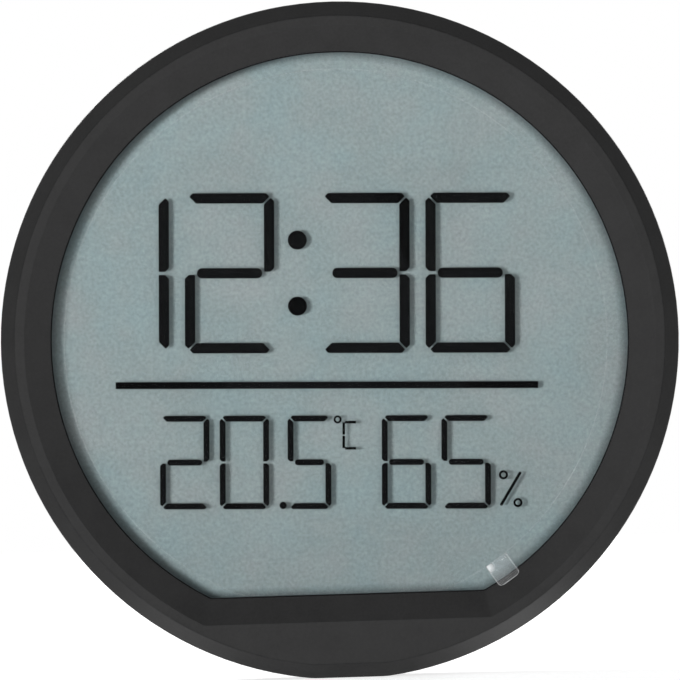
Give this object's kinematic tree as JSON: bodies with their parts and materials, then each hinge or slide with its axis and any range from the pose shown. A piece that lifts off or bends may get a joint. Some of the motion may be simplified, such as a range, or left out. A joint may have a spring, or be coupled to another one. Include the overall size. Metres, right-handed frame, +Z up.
{
  "type": "thermometer hygrometer clock",
  "caption": "Round black wall or table clock whose reflective display shows time, temperature and humidity, with fold-out stand, battery door and buttons at the back.",
  "frame": {"origin": "centre of the flat back face that lies against the wall", "axes": "+Y out of the back face towards the wall, so the display faces -Y; +X to the right seen from the front; +Z up"},
  "size_m": [0.13, 0.024, 0.1296],
  "materials": {
    "charcoal_plastic": "fine matt grain",
    "button_plastic": "smooth matt",
    "black_foam": "matt",
    "foot_rubber": "matt",
    "clear_film": "clear and glossy",
    "polariser_sheet": "clear with a slight haze",
    "display_glass": "clear",
    "liquid_crystal": "dark cells behind glass",
    "cell_sealant": "cured adhesive",
    "reflective_sheet": "grey-green, softly reflecting",
    "elastomer": "striped elastomer",
    "carrier_plastic": "matt",
    "screw_steel": "black zinc",
    "circuit_board": "green solder mask",
    "black_resin": "cured resin",
    "can_steel": "tinned",
    "capacitor_sleeve": "dark blue sleeve",
    "chip_ceramic": "black with tinned ends",
    "bead_resin": "dipped resin",
    "sensor_housing": "pale housing",
    "switch_housing": "matt",
    "plunger_plastic": "matt",
    "cell_jacket": "printed jacket over a steel can, plain green here",
    "contact_steel": "nickel plated spring steel",
    "red_insulation": "soft wire insulation",
    "black_insulation": "soft wire insulation",
    "pin_steel": "bright drawn steel"
  },
  "bodies": {
    "case": {"front_frame": "charcoal_plastic", "lip_gasket": "black_foam", "screen_film": "clear_film", "front_polariser": "polariser_sheet", "front_glass": "display_glass", "lcd_segments": "liquid_crystal", "cell_seal": "cell_sealant", "rear_glass": "display_glass", "reflector": "reflective_sheet", "zebra_strip": "elastomer", "display_carrier": "carrier_plastic", "carrier_screws": "screw_steel", "board_screws": "screw_steel", "case_screws": "screw_steel", "main_board": "circuit_board", "chip_blob": "black_resin", "quartz_crystal": "can_steel", "capacitor": "capacitor_sleeve", "chip_resistors": "chip_ceramic", "temperature_sensor": "bead_resin", "humidity_sensor": "sensor_housing", "switch_bodies": "switch_housing", "rear_case": "charcoal_plastic", "battery_upper": "cell_jacket", "battery_lower": "cell_jacket", "contact_bridge": "contact_steel", "contact_plus": "contact_steel", "contact_minus": "contact_steel", "lead_plus": "red_insulation", "lead_minus": "black_insulation", "stand_pin": "pin_steel"},
    "stand": {"stand_leg": "charcoal_plastic", "stand_foot": "foot_rubber"},
    "door": {"battery_door": "charcoal_plastic"},
    "key_set": {"button_set": "button_plastic", "switch_plunger_set": "plunger_plastic"},
    "key_up": {"button_up": "button_plastic", "switch_plunger_up": "plunger_plastic"},
    "key_down": {"button_down": "button_plastic", "switch_plunger_down": "plunger_plastic"},
    "key_unit": {"button_unit": "button_plastic", "switch_plunger_unit": "plunger_plastic"}
  },
  "joints": [
    {"name": "stand_hinge", "type": "hinge", "parent": "case", "child": "stand", "pos_m": [0, -0.0024, -0.012], "axis": [1, 0, 0], "range_deg": [0, 40]},
    {"name": "door_hinge", "type": "hinge", "parent": "case", "child": "door", "pos_m": [0, 0, 0.0053], "axis": [-1, 0, 0], "range_deg": [0, 80]},
    {"name": "set_press", "type": "slide", "parent": "case", "child": "key_set", "axis": [0, -1, 0], "range_m": [0, 0.0005], "stiffness_N_per_m": 1000},
    {"name": "up_press", "type": "slide", "parent": "case", "child": "key_up", "axis": [0, -1, 0], "range_m": [0, 0.0005], "stiffness_N_per_m": 1000},
    {"name": "down_press", "type": "slide", "parent": "case", "child": "key_down", "axis": [0, -1, 0], "range_m": [0, 0.0005], "stiffness_N_per_m": 1000},
    {"name": "unit_press", "type": "slide", "parent": "case", "child": "key_unit", "axis": [0, -1, 0], "range_m": [0, 0.0005], "stiffness_N_per_m": 1000}
  ]
}
